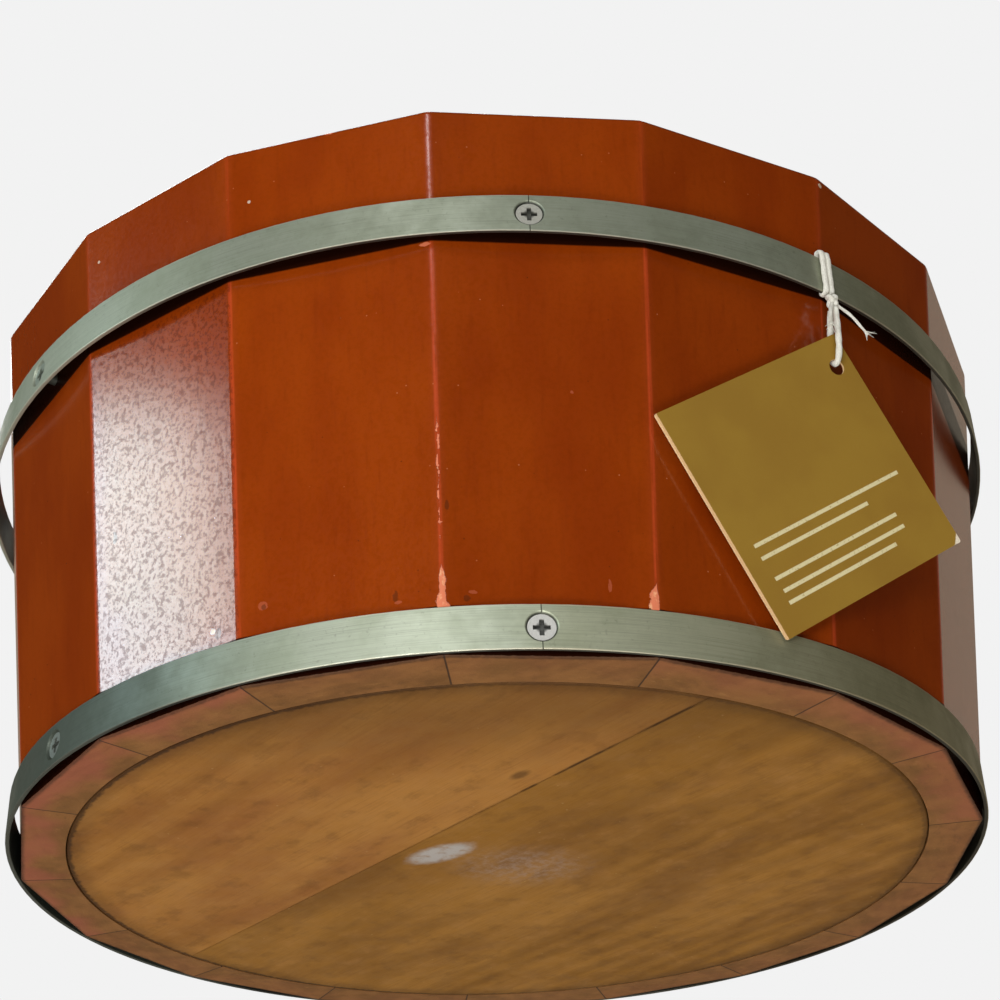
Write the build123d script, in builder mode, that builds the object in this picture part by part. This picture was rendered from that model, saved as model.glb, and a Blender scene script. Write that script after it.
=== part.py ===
from build123d import *
from math import atan, cos, degrees, pi, radians, sin, tan
import os

os.makedirs("parts", exist_ok=True)

# Lengths are in millimetres and angles in degrees. The origin is the middle of the
# bottom, +Z is up, and angles are measured from +X, anticlockwise seen from above.

# Staves
tub_height = 155.5
bottom_corner_radius = 143.0
top_corner_radius = 162.9
stave_thickness = 18.0
corner_round = 6.0
rim_round = 1.5
end_round = 0.5
first_joint_angle = -155.2
front_width_shares = (0.957, 0.90, 0.96, 0.96, 0.95, 0.93, 1.04)
back_width_shares = (1.00, 1.01, 0.97, 1.00, 0.98, 1.02, 0.96, 1.00, 1.003, 1.08)

# Head, the two boards that close the bottom
head_thickness = 12.0
ledge_depth = 3.2
head_gap = 0.3
head_edge = 0.4
seam_angle = 40.0
seam_offset = 33.0
seam_gap = 0.15
dowel_diameter = 6.0
dowel_length = 36.0
dowel_clearance = 0.1
dowel_spread_shares = (-0.6, 0.0, 0.6)

# Hoops. The upper one stands clear of the corners, for the string. The lower one is seated in
# them: under it they are dressed down to the radius that they have at a share of its width
hoop_width = 12.0
hoop_thickness = 1.2
hoop_edge = 0.25
lower_hoop_height = 0.3
lower_hoop_seat_share = 0.2
lower_hoop_clearance = 0.1
upper_hoop_height = 113.5
upper_hoop_clearance = 0.8
seam_cut_width = 0.25
seam_cut_depth = 0.4

# Screws, one in each listed stave, set off the middle of its face by a share of its half width
screw_stave_numbers = (0, 3, 8, 12)
screw_offset_shares = (0.15, -0.10, 0.08, -0.05)
screw_length = 16.0
screw_tip = 5.0
shank_diameter = 3.5
screw_head_diameter = 7.0
sink_diameter = 8.4
sink_angle = 90.0
screw_seat_gap = 0.02
pilot_clearance = 0.05
recess_span = 4.3
recess_width = 1.2
recess_depth = 1.3

# String, tied round the upper hoop
string_angle = -53.9
string_diameter = 1.8
wrap_front_thickness = 1.4
wrap_edge_thickness = 1.0
wrap_back_thickness = 0.45
wrap_gap = 0.1
turn_pitch = 2.0
knot_radius = 2.4
knot_stand_off = 1.2
knot_gap = 0.3
strand_drop = 19.05
strand_spread = 3.8
strand_meet_spread = 2.2
strand_fold_share = 0.45
tail_diameter = 1.5
left_tail_run = (-5.4, -12.4, 2.6)
right_tail_run = (11.0, -9.0, 2.2)
tail_bow_share = 0.55
tail_sag = 1.6

# Hang tag
tag_width = 66.8
tag_length = 65.0
tag_thickness = 0.6
tag_corner_round = 0.6
tag_hole_diameter = 4.6
tag_hole_edge = 5.6
tag_hole_end = 8.6
tag_roll = 34.0
tag_turn = -11.5
tag_lean = 7.8

# All cuts run past the surface by this
overrun = 5.0

# Worked out from the sizes above
width_shares = front_width_shares + back_width_shares
full_turn = 360.0
stave_angles = [full_turn * share / sum(width_shares) for share in width_shares]
joint_angles = [first_joint_angle + sum(stave_angles[:number]) for number in range(len(stave_angles))]
wall_slope = (top_corner_radius - bottom_corner_radius) / tub_height
wall_level_thickness = stave_thickness / cos(atan(wall_slope))
widest_half_angle = radians(max(stave_angles) / 2)
inner_corner_radius = bottom_corner_radius - wall_level_thickness / cos(widest_half_angle)
rebate_radius = inner_corner_radius + ledge_depth
head_radius = rebate_radius - head_gap
shank_radius = shank_diameter / 2
screw_head_radius = screw_head_diameter / 2
sink_radius = sink_diameter / 2
string_radius = string_diameter / 2


def corner_radius_at(height):
    """Distance from the axis to the sharp corner between two staves."""
    return bottom_corner_radius + wall_slope * height


def around(angle, radius, height):
    """Point at that angle, distance from the axis and height."""
    return Vector(radius * cos(radians(angle)), radius * sin(radians(angle)), height)


def facing(angle, radius, height):
    """Plane that faces away from the axis, with its x along the wall and its y upwards."""
    return Plane(
        origin=around(angle, radius, height),
        x_dir=around(angle + full_turn / 4, 1, 0),
        z_dir=around(angle, 1, 0),
    )


def save(piece, name):
    piece.part.label = name
    export_step(piece.part, f"parts/{name}.step")


lower_seat_radius = corner_radius_at(lower_hoop_height + lower_hoop_seat_share * hoop_width)
upper_seat_radius = corner_radius_at(upper_hoop_height + hoop_width)
lower_hoop_radius = lower_seat_radius + lower_hoop_clearance + hoop_thickness
upper_hoop_radius = upper_seat_radius + upper_hoop_clearance + hoop_thickness
hoops = {
    "lower_hoop": (lower_hoop_height, lower_hoop_radius),
    "upper_hoop": (upper_hoop_height, upper_hoop_radius),
}


def screw_angle(stave, offset_share):
    half_angle = stave_angles[stave] / 2
    return joint_angles[stave] + half_angle + offset_share * half_angle


screw_angles = {
    stave: screw_angle(stave, offset_share)
    for stave, offset_share in zip(screw_stave_numbers, screw_offset_shares)
}


def screw_seat(stave, hoop):
    """Plane on the outside of a hoop, at the middle of its strip, for the screw of that stave."""
    height, radius = hoops[hoop]
    return facing(screw_angles[stave], radius, height + hoop_width / 2)


def draw_stave_outline(corner_radius, half_angle):
    """Level section of a stave whose face looks along +X, with half a corner's rounding at each side."""
    half_turn = radians(half_angle)
    face = corner_radius * cos(half_turn)
    back = face - wall_level_thickness
    round_x = face - corner_round
    round_y = round_x * tan(half_turn)
    side_x = round_x + corner_round * cos(half_turn)
    side_y = round_y + corner_round * sin(half_turn)
    Line((face, -round_y), (face, round_y))
    CenterArc((round_x, round_y), corner_round, 0, half_angle)
    Polyline(
        (side_x, side_y),
        (back, back * tan(half_turn)),
        (back, -back * tan(half_turn)),
        (side_x, -side_y),
    )
    CenterArc((round_x, -round_y), corner_round, -half_angle, half_angle)


# Staves
for number, (joint_angle, stave_angle) in enumerate(zip(joint_angles, stave_angles)):
    middle = Plane.XY.rotated((0, 0, joint_angle + stave_angle / 2))
    with BuildPart() as stave:
        for height in (0, tub_height):
            with BuildSketch(middle.offset(height)):
                with BuildLine():
                    draw_stave_outline(corner_radius_at(height), stave_angle / 2)
                make_face()
        loft(ruled=True)
        rim_edges = stave.edges().group_by(Axis.Z)[-1]
        end_edges = stave.edges().group_by(Axis.Z)[0]
        outward = Axis((0, 0, 0), middle.x_dir)
        fillet(rim_edges.sort_by(outward)[-3:], radius=rim_round)
        fillet(end_edges.sort_by(outward)[-3:], radius=end_round)
        with Locations((0, 0, head_thickness)):
            Cylinder(
                rebate_radius,
                head_thickness + overrun,
                align=(Align.CENTER, Align.CENTER, Align.MAX),
                mode=Mode.SUBTRACT,
            )
        with BuildSketch(Plane.XY.offset(lower_hoop_height - lower_hoop_clearance)):
            Circle(lower_hoop_radius + overrun)
            Circle(lower_seat_radius, mode=Mode.SUBTRACT)
        extrude(amount=hoop_width + 2 * lower_hoop_clearance, mode=Mode.SUBTRACT)
        if number in screw_stave_numbers:
            for hoop in hoops:
                with Locations(screw_seat(number, hoop)):
                    Hole(shank_radius + pilot_clearance, depth=screw_length + pilot_clearance)
    save(stave, f"stave_{number + 1:02d}")


# Head boards, drawn with the seam square to X and the narrow board beyond the seam on -X
head_plane = Plane.XY.rotated((0, 0, seam_angle))
dowel_height = head_thickness / 2
dowel_seats = [
    head_plane.offset(dowel_height) * Location((-seam_offset, share * head_radius, 0), (0, full_turn / 4, 0))
    for share in dowel_spread_shares
]


def cut_dowel_holes():
    with Locations(*dowel_seats):
        Cylinder(
            dowel_diameter / 2 + dowel_clearance,
            dowel_length + 2 * dowel_clearance,
            mode=Mode.SUBTRACT,
        )


for name, side in (("head_board_wide", Align.MIN), ("head_board_narrow", Align.MAX)):
    seam_x = -seam_offset + (seam_gap / 2 if side == Align.MIN else -seam_gap / 2)
    with BuildPart() as board:
        with BuildSketch(head_plane):
            Circle(head_radius)
            with Locations((seam_x, 0)):
                Rectangle(
                    2 * head_radius,
                    2 * head_radius,
                    align=(side, Align.CENTER),
                    mode=Mode.INTERSECT,
                )
        extrude(amount=head_thickness)
        rim = board.edges().filter_by(GeomType.CIRCLE).group_by(Axis.Z)[0]
        chamfer(rim, length=head_edge)
        cut_dowel_holes()
    save(board, name)

with BuildPart() as head_dowels:
    with Locations(*dowel_seats):
        Cylinder(dowel_diameter / 2, dowel_length)
save(head_dowels, "head_dowels")


# Hoops: flat strip, butted and welded at the front of the upper one
for name, (height, radius) in hoops.items():
    with BuildPart() as hoop:
        with BuildSketch(Plane.XY.offset(height)):
            Circle(radius)
            Circle(radius - hoop_thickness, mode=Mode.SUBTRACT)
        extrude(amount=hoop_width)
        fillet(hoop.edges().filter_by(GeomType.CIRCLE), radius=hoop_edge)
        for stave_number in screw_stave_numbers:
            with Locations(screw_seat(stave_number, name)):
                CounterSinkHole(
                    shank_radius + pilot_clearance,
                    sink_radius,
                    depth=hoop_thickness + overrun,
                    counter_sink_angle=sink_angle,
                )
        seam_seat = screw_seat(screw_stave_numbers[1], name)
        with BuildSketch(seam_seat.offset(-seam_cut_depth)):
            Rectangle(seam_cut_width, hoop_width + overrun)
        extrude(amount=overrun, mode=Mode.SUBTRACT)
    save(hoop, name)


# Screws: countersunk, each head sunk until its edge meets the countersink
head_sink = sink_radius - screw_head_radius - screw_seat_gap
for hoop in hoops:
    with BuildPart() as screws:
        for stave_number in screw_stave_numbers:
            seat = screw_seat(stave_number, hoop)
            side_view = Plane(origin=seat.origin, x_dir=seat.y_dir, z_dir=seat.x_dir)
            with BuildSketch(side_view):
                with BuildLine():
                    Polyline(
                        (0, -head_sink),
                        (screw_head_radius, -head_sink),
                        (shank_radius, -head_sink - screw_head_radius + shank_radius),
                        (shank_radius, screw_tip - screw_length),
                        (0, -screw_length),
                        close=True,
                    )
                make_face()
            revolve(axis=Axis(seat.origin, seat.z_dir))
            with BuildSketch(seat.offset(-head_sink)):
                Rectangle(recess_span, recess_width)
                Rectangle(recess_width, recess_span)
            extrude(amount=-recess_depth, mode=Mode.SUBTRACT)
    save(screws, f"{hoop}_screws")


# String round the hoop: two flat-pulled turns, seen in section on a plane square to the hoop
tie_face = facing(string_angle, upper_hoop_radius, upper_hoop_height)
tie_section = Plane(origin=tie_face.origin, x_dir=tie_face.z_dir, z_dir=-tie_face.x_dir)
wrap_bottom = -wrap_gap - wrap_edge_thickness
wrap_height = hoop_width + 2 * (wrap_gap + wrap_edge_thickness)
inner_depth = hoop_thickness + 2 * wrap_gap
wrap_depth = inner_depth + wrap_front_thickness + wrap_back_thickness

with BuildPart() as string_wrap:
    for side in (-turn_pitch / 2, turn_pitch / 2):
        with BuildSketch(tie_section.offset(side)):
            with Locations((wrap_gap + wrap_front_thickness, wrap_bottom)):
                Rectangle(wrap_depth, wrap_height, align=(Align.MAX, Align.MIN))
            with Locations((wrap_gap, -wrap_gap)):
                Rectangle(
                    inner_depth,
                    hoop_width + 2 * wrap_gap,
                    align=(Align.MAX, Align.MIN),
                    mode=Mode.SUBTRACT,
                )
        extrude(amount=string_radius, both=True)
save(string_wrap, "string_wrap")


# Knot below the hoop, with the two short ends of the string
knot_drop = wrap_gap + wrap_edge_thickness + knot_gap + knot_radius
knot_centre = tie_face.from_local_coords(Vector(0, -knot_drop, knot_stand_off))
knot_face = Plane(origin=knot_centre, x_dir=tie_face.x_dir, z_dir=tie_face.z_dir)

with BuildPart() as string_knot:
    with Locations(knot_face):
        Sphere(knot_radius)
    for run in (left_tail_run, right_tail_run):
        tail_end = Vector(*run)
        tail_bow = tail_end * tail_bow_share + Vector(0, tail_sag, 0)
        start, bow, end = (knot_face.from_local_coords(point) for point in (Vector(0, 0, 0), tail_bow, tail_end))
        with BuildLine() as tail:
            ThreePointArc(start, bow, end)
        with BuildSketch(Plane(origin=tail.line @ 0, z_dir=tail.line % 0)):
            Circle(tail_diameter / 2)
        sweep(path=tail.line)
save(string_knot, "string_knot")


# Tag: a card parallel to the wall, which pivots on the string where it passes through the hole
tag_angle = string_angle + tag_turn
lean = radians(tag_lean)
hang_plane = Plane(
    origin=knot_centre,
    x_dir=around(tag_angle + full_turn / 4, 1, 0),
    z_dir=around(tag_angle, cos(lean), -sin(lean)),
)
tag_pivot = hang_plane.from_local_coords(Vector(0, -strand_drop, 0))
tag_face = Plane(origin=tag_pivot, x_dir=hang_plane.x_dir, z_dir=hang_plane.z_dir)
hole_drop = tag_hole_diameter / 2 - string_radius - wrap_gap
hole_centre = Vector(0, -hole_drop, 0)
half_card = Vector(tag_hole_edge - tag_width / 2, tag_hole_end - tag_length / 2, 0)
card_centre = hole_centre + half_card.rotate(Axis.Z, tag_roll)

with BuildPart() as hang_tag:
    with BuildSketch(tag_face):
        with Locations(card_centre):
            RectangleRounded(tag_width, tag_length, tag_corner_round, rotation=tag_roll)
        with Locations(hole_centre):
            Circle(tag_hole_diameter / 2, mode=Mode.SUBTRACT)
    extrude(amount=tag_thickness / 2, both=True)
save(hang_tag, "hang_tag")


# Doubled strand from the knot, through the hole and back
strand_plane = Plane(origin=tag_pivot, x_dir=tag_face.z_dir, z_dir=-tag_face.x_dir)
strand_top = strand_drop - knot_radius - wrap_gap
strand_points = [
    (strand_meet_spread / 2, strand_top),
    (strand_spread / 2, 0),
    (-strand_spread / 2, 0),
    (-strand_meet_spread / 2, strand_top),
]
fold_radius = strand_fold_share * strand_spread
print("radii of the string's fold, mm:", round(fold_radius, 2), round(fold_radius, 2))

with BuildPart() as tag_string:
    with BuildLine(strand_plane) as strand:
        FilletPolyline(*strand_points, radius=[fold_radius, fold_radius])
    with BuildSketch(Plane(origin=strand.line @ 0, z_dir=strand.line % 0)):
        Circle(string_radius)
    sweep(path=strand.line)
save(tag_string, "tag_string")
strand_length = sum(edge.length for edge in strand.edges())
strand_volume = pi * string_radius**2 * strand_length
print("length of the doubled strand, mm:", round(strand_length, 1))
print("its volume against section times length:", round(tag_string.part.volume / strand_volume, 4))

print("tilt of the wall, degrees:", round(degrees(atan(wall_slope)), 2))
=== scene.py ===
from math import atan, cos, pi, radians, sin, tan

import bmesh
import bpy
from mathutils import Matrix, Vector
from mathutils.noise import noise as smooth_noise


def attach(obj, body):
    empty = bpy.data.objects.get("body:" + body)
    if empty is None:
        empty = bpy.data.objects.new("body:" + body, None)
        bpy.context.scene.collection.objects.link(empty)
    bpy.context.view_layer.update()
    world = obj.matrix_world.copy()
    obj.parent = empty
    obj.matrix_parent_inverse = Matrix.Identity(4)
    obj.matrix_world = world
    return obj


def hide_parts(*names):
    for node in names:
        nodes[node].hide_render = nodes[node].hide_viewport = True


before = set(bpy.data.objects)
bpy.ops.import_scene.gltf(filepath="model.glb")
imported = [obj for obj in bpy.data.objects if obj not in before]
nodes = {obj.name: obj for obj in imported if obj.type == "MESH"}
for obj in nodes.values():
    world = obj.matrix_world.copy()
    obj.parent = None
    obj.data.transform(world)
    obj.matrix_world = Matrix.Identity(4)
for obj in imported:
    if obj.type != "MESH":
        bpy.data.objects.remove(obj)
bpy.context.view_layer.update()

# Sizes of the real part, in metres and radians, as in the part's source
tub_height = 0.1555
bottom_corner_radius = 0.143
top_corner_radius = 0.1629
first_joint_angle = radians(-155.2)
stave_shares = (
    0.957, 0.90, 0.96, 0.96, 0.95, 0.93, 1.04,
    1.00, 1.01, 0.97, 1.00, 0.98, 1.02, 0.96, 1.00, 1.003, 1.08,
)
wall_slope = (top_corner_radius - bottom_corner_radius) / tub_height
wall_lean = atan(wall_slope)
stave_turns = [2 * pi * share / sum(stave_shares) for share in stave_shares]
screw_offset_shares = {1: 0.15, 4: -0.10, 9: 0.08, 13: -0.05}
hoop_width = 0.012
hoop_thickness = 0.0012
lower_hoop_bottom = 0.0003
upper_hoop_bottom = 0.1135
lower_hoop_seat_share = 0.2
lower_hoop_stand = 0.0013
upper_hoop_stand = 0.0020
lower_hoop_seat = lower_hoop_bottom + lower_hoop_seat_share * hoop_width
lower_hoop_radius = bottom_corner_radius + wall_slope * lower_hoop_seat + lower_hoop_stand
upper_hoop_radius = bottom_corner_radius + wall_slope * (upper_hoop_bottom + hoop_width) + upper_hoop_stand
seam_angle = radians(40)
seam_offset = 0.033
string_angle = radians(-53.9)
string_diameter = 0.0018
tag_angle = string_angle + radians(-11.5)
tag_lean = radians(7.8)
tag_roll = radians(34.0)
tag_width = 0.0668
tag_length = 0.0650
knot_radius = 0.0024


def around(angle, radius, height):
    return Vector((radius * cos(angle), radius * sin(angle), height))


# Camera at the photograph's angle, looking up at the bottom
camera_place = Vector((0, -0.5267, -0.1950))
camera_target = Vector((0.0043, 0, 0.1308))
camera_roll = -0.0361
camera_lens = 65.755
camera_sensor = 36
ahead = (camera_target - camera_place).normalized()
level_right = ahead.cross(Vector((0, 0, 1))).normalized()
level_up = level_right.cross(ahead)
camera_right = cos(camera_roll) * level_right + sin(camera_roll) * level_up
camera_up = cos(camera_roll) * level_up - sin(camera_roll) * level_right
camera_data = bpy.data.cameras.new("camera")
camera_data.lens = camera_lens
camera_data.sensor_width = camera_sensor
camera_data.clip_start = 0.01
camera = bpy.data.objects.new("camera", camera_data)
bpy.context.scene.collection.objects.link(camera)
camera.matrix_world = Matrix((
    (camera_right.x, camera_up.x, -ahead.x, camera_place.x),
    (camera_right.y, camera_up.y, -ahead.y, camera_place.y),
    (camera_right.z, camera_up.z, -ahead.z, camera_place.z),
    (0, 0, 0, 1),
))
bpy.context.scene.camera = camera
bpy.context.scene.view_settings.view_transform = "Standard"


# Shader building blocks
def from_screen(red, green, blue):
    """Linear colour of a 0 to 255 screen colour."""
    shares = (channel / 255 for channel in (red, green, blue))
    return tuple(s / 12.92 if s <= 0.04045 else ((s + 0.055) / 1.055) ** 2.4 for s in shares) + (1,)


class Shader:
    """A material under construction. Coordinates inside it are in millimetres."""

    def __init__(self, name):
        self.material = bpy.data.materials.new(name)
        self.material.use_nodes = True
        self.tree = self.material.node_tree
        self.tree.nodes.clear()
        self.surface = self.add("ShaderNodeBsdfPrincipled")
        output = self.add("ShaderNodeOutputMaterial")
        self.tree.links.new(self.surface.outputs["BSDF"], output.inputs["Surface"])
        coordinates = self.add("ShaderNodeTexCoord")
        self.normal = coordinates.outputs["Normal"]
        self.place = self.scaled(coordinates.outputs["Object"], (1000, 1000, 1000))

    def add(self, kind, **settings):
        node = self.tree.nodes.new(kind)
        for name, value in settings.items():
            setattr(node, name, value)
        return node

    def put(self, socket, value):
        if isinstance(value, bpy.types.NodeSocket):
            self.tree.links.new(value, socket)
        else:
            socket.default_value = value

    def math(self, operation, *values):
        node = self.add("ShaderNodeMath", operation=operation)
        for socket, value in zip(node.inputs, values):
            self.put(socket, value)
        return node.outputs[0]

    def product(self, *values):
        """The values multiplied together, from the first to the last."""
        result = values[0]
        for value in values[1:]:
            result = self.math("MULTIPLY", result, value)
        return result

    def distance(self, x, y):
        """How far the place with those two coordinates is from the origin."""
        squares = self.math("ADD", self.math("POWER", x, 2.0), self.math("POWER", y, 2.0))
        return self.math("SQRT", squares)

    def scaled(self, vector, factors):
        node = self.add("ShaderNodeVectorMath", operation="MULTIPLY")
        self.put(node.inputs[0], vector)
        node.inputs[1].default_value = factors
        return node.outputs[0]

    def moved(self, vector, offset):
        node = self.add("ShaderNodeVectorMath", operation="ADD")
        self.put(node.inputs[0], vector)
        self.put(node.inputs[1], offset)
        return node.outputs[0]

    def along(self, vector, direction):
        node = self.add("ShaderNodeVectorMath", operation="DOT_PRODUCT")
        self.put(node.inputs[0], vector)
        node.inputs[1].default_value = direction
        return node.outputs["Value"]

    def turned(self, vector, angle):
        """The vector seen from axes that are turned by that angle about Z."""
        node = self.add("ShaderNodeVectorRotate", rotation_type="Z_AXIS")
        self.put(node.inputs["Vector"], vector)
        node.inputs["Angle"].default_value = -angle
        return node.outputs[0]

    def parts(self, vector):
        node = self.add("ShaderNodeSeparateXYZ")
        self.put(node.inputs[0], vector)
        return node.outputs[0], node.outputs[1], node.outputs[2]

    def joined(self, x, y, z):
        node = self.add("ShaderNodeCombineXYZ")
        for socket, value in zip(node.inputs, (x, y, z)):
            self.put(socket, value)
        return node.outputs[0]

    def noise(self, vector, scale, detail=3, roughness=0.5, distortion=0):
        node = self.add("ShaderNodeTexNoise")
        self.put(node.inputs["Vector"], vector)
        settings = {"Scale": scale, "Detail": detail, "Roughness": roughness, "Distortion": distortion}
        for name, value in settings.items():
            node.inputs[name].default_value = value
        return node.outputs["Fac"]

    def cells(self, vector, scale, feature="F1"):
        node = self.add("ShaderNodeTexVoronoi", feature=feature)
        self.put(node.inputs["Vector"], vector)
        node.inputs["Scale"].default_value = scale
        return node

    def step(self, value, low, high, from_value=0.0, to_value=1.0):
        """Smooth change from from_value to to_value as value goes from low to high."""
        node = self.add("ShaderNodeMapRange", interpolation_type="SMOOTHSTEP")
        for socket, number in zip(node.inputs, (value, low, high, from_value, to_value)):
            self.put(socket, number)
        return node.outputs[0]

    def mix(self, share, first, second, blend="MIX"):
        node = self.add("ShaderNodeMix", data_type="RGBA", blend_type=blend)
        self.put(node.inputs["Factor"], share)
        self.put(node.inputs[6], first)
        self.put(node.inputs[7], second)
        return node.outputs[2]

    def between(self, share, first, second):
        """The same as mix, for numbers."""
        node = self.add("ShaderNodeMix", data_type="FLOAT")
        for socket, value in zip((node.inputs[0], node.inputs[2], node.inputs[3]), (share, first, second)):
            self.put(socket, value)
        return node.outputs[0]

    def bump(self, height, distance, strength=1.0, below=None):
        node = self.add("ShaderNodeBump")
        node.inputs["Strength"].default_value = strength
        node.inputs["Distance"].default_value = distance
        self.put(node.inputs["Height"], height)
        if below is not None:
            self.put(node.inputs["Normal"], below)
        return node.outputs[0]

    def finish(self, colour, roughness, normal=None, **constants):
        self.put(self.surface.inputs["Base Color"], colour)
        self.put(self.surface.inputs["Roughness"], roughness)
        if normal is not None:
            self.put(self.surface.inputs["Normal"], normal)
        for name, value in constants.items():
            self.surface.inputs[name.replace("_", " ")].default_value = value
        return self.material


def dress(piece, material):
    piece.data.materials.clear()
    piece.data.materials.append(material)


# Wood under varnish: rings round a far pith, so faces, sides and ends of one board agree
def wood_tones(s, grain_vector, dark, middle, light, ring_width, pores=0.35):
    x, y, _ = s.parts(grain_vector)
    slow = s.scaled(grain_vector, (1, 1, 0.12))
    wander = s.product(s.math("SUBTRACT", s.noise(slow, 0.035, 2), 0.5), 16.0)
    radius = s.distance(x, y)
    phase = s.product(s.math("ADD", radius, wander), 2 * pi / ring_width)
    rings = s.step(s.math("SINE", phase), -1.0, 1.0)
    fibres = s.noise(s.scaled(grain_vector, (1, 1, 0.03)), 1.6, 4, 0.65)
    clouds = s.noise(s.scaled(grain_vector, (1, 1, 0.35)), 0.03, 3, 0.6)
    tone = s.mix(s.product(rings, 0.42), middle, dark)
    tone = s.mix(s.step(clouds, 0.35, 0.68, 0, 0.75), tone, light)
    tone = s.mix(s.step(fibres, 0.30, 0.56, pores, 0), tone, dark)
    height = s.math("ADD", s.product(fibres, 0.7), s.product(rings, 0.3))
    return tone, height


paint_tones = (from_screen(149, 59, 5), from_screen(137, 50, 3), from_screen(114, 37, 2))
chip_colour = from_screen(222, 124, 88)
bare_colour = from_screen(236, 170, 128)
dark_colour = from_screen(64, 34, 16)
pale_colour = from_screen(240, 226, 200)
scuff_colour = from_screen(196, 104, 74)

# Worn stretches of the creases, by stave and side: lowest and highest height and reach, in millimetres
crease_wear = {
    (3, 1): ((12, 16, 1.7), (15, 22, 0.8), (30, 62, 0.6)),
    (4, -1): ((12, 13.5, 2.6), (13, 22, 1.0), (31, 62, 0.6)),
    (4, 1): ((12, 18, 2.0),),
    (5, -1): ((12, 17, 0.6),),
    (9, 1): ((40, 75, 0.8), (12, 18, 1.6)),
    (10, -1): ((44, 80, 0.9),),
    (12, 1): ((12, 20, 2.0),),
    (13, -1): ((12, 17, 1.5),),
    (15, 1): ((66, 96, 0.7),),
}
# Marks by stave: distance along the face and height of the middle, half sizes, kind
face_marks = {
    2: (
        # On stave 2 the dark mark beside the low pale dot is that dot's painted shadow
        (16.0, 16.9, 0.9, 0.8, "pale"), (17.6, 16.0, 1.0, 1.4, "dark"),
        (-22.4, 142.8, 0.5, 0.5, "pale"), (-17.4, 54.0, 0.8, 1.9, "dark"),
    ),
    3: (
        (26.4, 113.2, 1.6, 0.6, "chip"), (14.3, 16.8, 0.7, 1.5, "dark"), (14.9, 15.2, 1.0, 0.4, "scuff"),
        (-19.6, 20.0, 1.3, 1.1, "scuff"), (-19.4, 19.6, 0.6, 0.7, "dark"), (-22.5, 137.9, 0.5, 0.5, "pale"),
        (0.8, 155.0, 1.6, 0.8, "chip"),
    ),
    4: (
        (-18.6, 16.2, 1.1, 0.5, "scuff"), (-20.0, 14.6, 0.8, 0.9, "dark"), (14.6, 18.3, 0.45, 1.5, "scuff"),
        (-24.7, 38.7, 0.5, 1.2, "dark"), (7.2, 70.6, 0.4, 0.5, "scuff"),
    ),
    6: ((-27.0, 152.6, 0.8, 0.7, "pale"),),
    7: ((-3.9, 73.7, 0.95, 0.85, "pale"),),
    9: ((6.0, 92.0, 0.6, 1.6, "scuff"), (-14.0, 30.0, 0.9, 0.7, "dark")),
    11: ((12.0, 134.0, 0.6, 0.6, "pale"), (-3.0, 52.0, 0.5, 1.8, "scuff")),
    14: ((-9.0, 24.0, 1.2, 0.7, "chip"), (15.0, 88.0, 0.5, 0.6, "pale")),
    16: ((4.0, 60.0, 0.6, 1.3, "scuff"),),
}
mark_kinds = {
    "chip": (chip_colour, 0.85),
    "dark": (dark_colour, 0.5),
    "pale": (pale_colour, 0.55),
    "scuff": (scuff_colour, 0.38),
}
# Strength of the pink stain on the lower ends, by stave
end_stains = {1: 0.66, 2: 0.62, 5: 0.28, 6: 0.44, 7: 0.46, 16: 0.6, 17: 0.66}
# Factor on the paint's colour, for the staves that are darker than the others: painted shade, mostly on the
# staves at the left and right sides
stave_shade = {1: 0.90, 2: 0.94, 4: 0.96, 5: 0.88, 6: 0.86}
# The stave that mirrors the brightest lamp shows its dull specks darker, below the upper hoop: the specks are
# the paint's own, their extra darkness there is painted shade in the lamp's reflection
specked_stave = 2


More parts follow.
